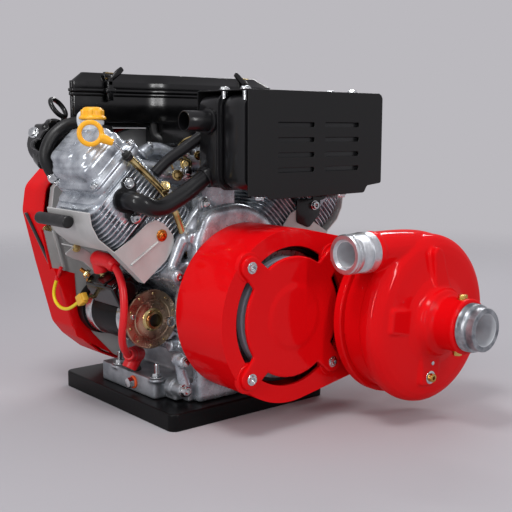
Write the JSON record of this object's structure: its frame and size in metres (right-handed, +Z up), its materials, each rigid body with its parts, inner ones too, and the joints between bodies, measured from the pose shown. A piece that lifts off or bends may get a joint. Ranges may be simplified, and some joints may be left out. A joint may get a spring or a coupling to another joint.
{
  "type": "engine-driven centrifugal fire pump",
  "caption": "Portable end-suction fire pump with a belt housing and an air-cooled V-twin engine on a flat base plate.",
  "frame": {"origin": "centre of the underside of the base plate", "axes": "+X along the crankshaft towards the pump and its suction nipple, +Y towards the side where the pump hangs, +Z up"},
  "size_m": [0.595, 0.5508, 0.503],
  "materials": {
    "black_paint": "satin black stove paint",
    "black_plastic": "moulded black plastic, low gloss",
    "black_rubber": "moulded rubber",
    "brass": "turned brass",
    "bronze_plate": "bronze-toned chromate plate",
    "cast_aluminium": "die-cast aluminium, satin",
    "dark_steel": "oiled dark steel",
    "gloss_black_base": "gloss black coated steel plate",
    "machined_aluminium": "turned aluminium",
    "red_enamel": "gloss red enamel",
    "red_vinyl": "soft red vinyl",
    "sheet_aluminium": "plain rolled sheet",
    "white_plastic": "moulded pale plastic",
    "yellow_plastic": "moulded yellow plastic",
    "yellow_zinc": "yellow chromate zinc plate",
    "zinc_steel": "bright zinc plated steel"
  },
  "bodies": {
    "root": {"air_cleaner_base": "black_plastic", "air_cleaner_latches": "black_plastic", "air_cleaner_lid": "black_plastic", "base_plate": "gloss_black_base", "battery_cable": "red_vinyl", "blower_housing": "red_enamel", "breather_hose": "black_rubber", "cable_boots": "red_vinyl", "cable_terminals": "yellow_zinc", "carburettor": "cast_aluminium", "cover_bolts": "zinc_steel", "crankcase": "cast_aluminium", "dipstick": "yellow_plastic", "dipstick_tube": "yellow_zinc", "discharge_nipple": "machined_aluminium", "drain_plugs": "zinc_steel", "drive_belt": "black_rubber", "drive_cover": "red_enamel", "drive_housing": "red_enamel", "drive_pulley": "dark_steel", "engine_sump": "cast_aluminium", "fan_backplate": "sheet_aluminium", "flywheel": "dark_steel", "foot_studs": "zinc_steel", "fuel_pump": "black_plastic", "intake_manifold": "cast_aluminium", "left_air_guide": "sheet_aluminium", "left_cylinder": "cast_aluminium", "left_cylinder_head": "cast_aluminium", "left_exhaust_pipe": "black_paint", "left_valve_cover": "cast_aluminium", "lifting_eye": "black_paint", "muffler_body": "black_paint", "muffler_guard": "black_paint", "muffler_mounts": "zinc_steel", "muffler_support": "black_paint", "oil_filler_cap": "yellow_plastic", "oil_filler_neck": "white_plastic", "plug_boots": "black_rubber", "pump_bracket": "red_enamel", "pump_plugs": "brass", "pump_rotor": "brass", "pump_volute": "red_enamel", "right_air_guide": "sheet_aluminium", "right_cylinder": "cast_aluminium", "right_cylinder_head": "cast_aluminium", "right_exhaust_pipe": "black_paint", "right_valve_cover": "cast_aluminium", "signal_wire": "yellow_plastic", "starter_end_plate": "bronze_plate", "starter_motor": "black_paint", "starter_solenoid": "black_plastic", "suction_nipple": "machined_aluminium", "wire_ends": "red_vinyl"}
  },
  "joints": []
}
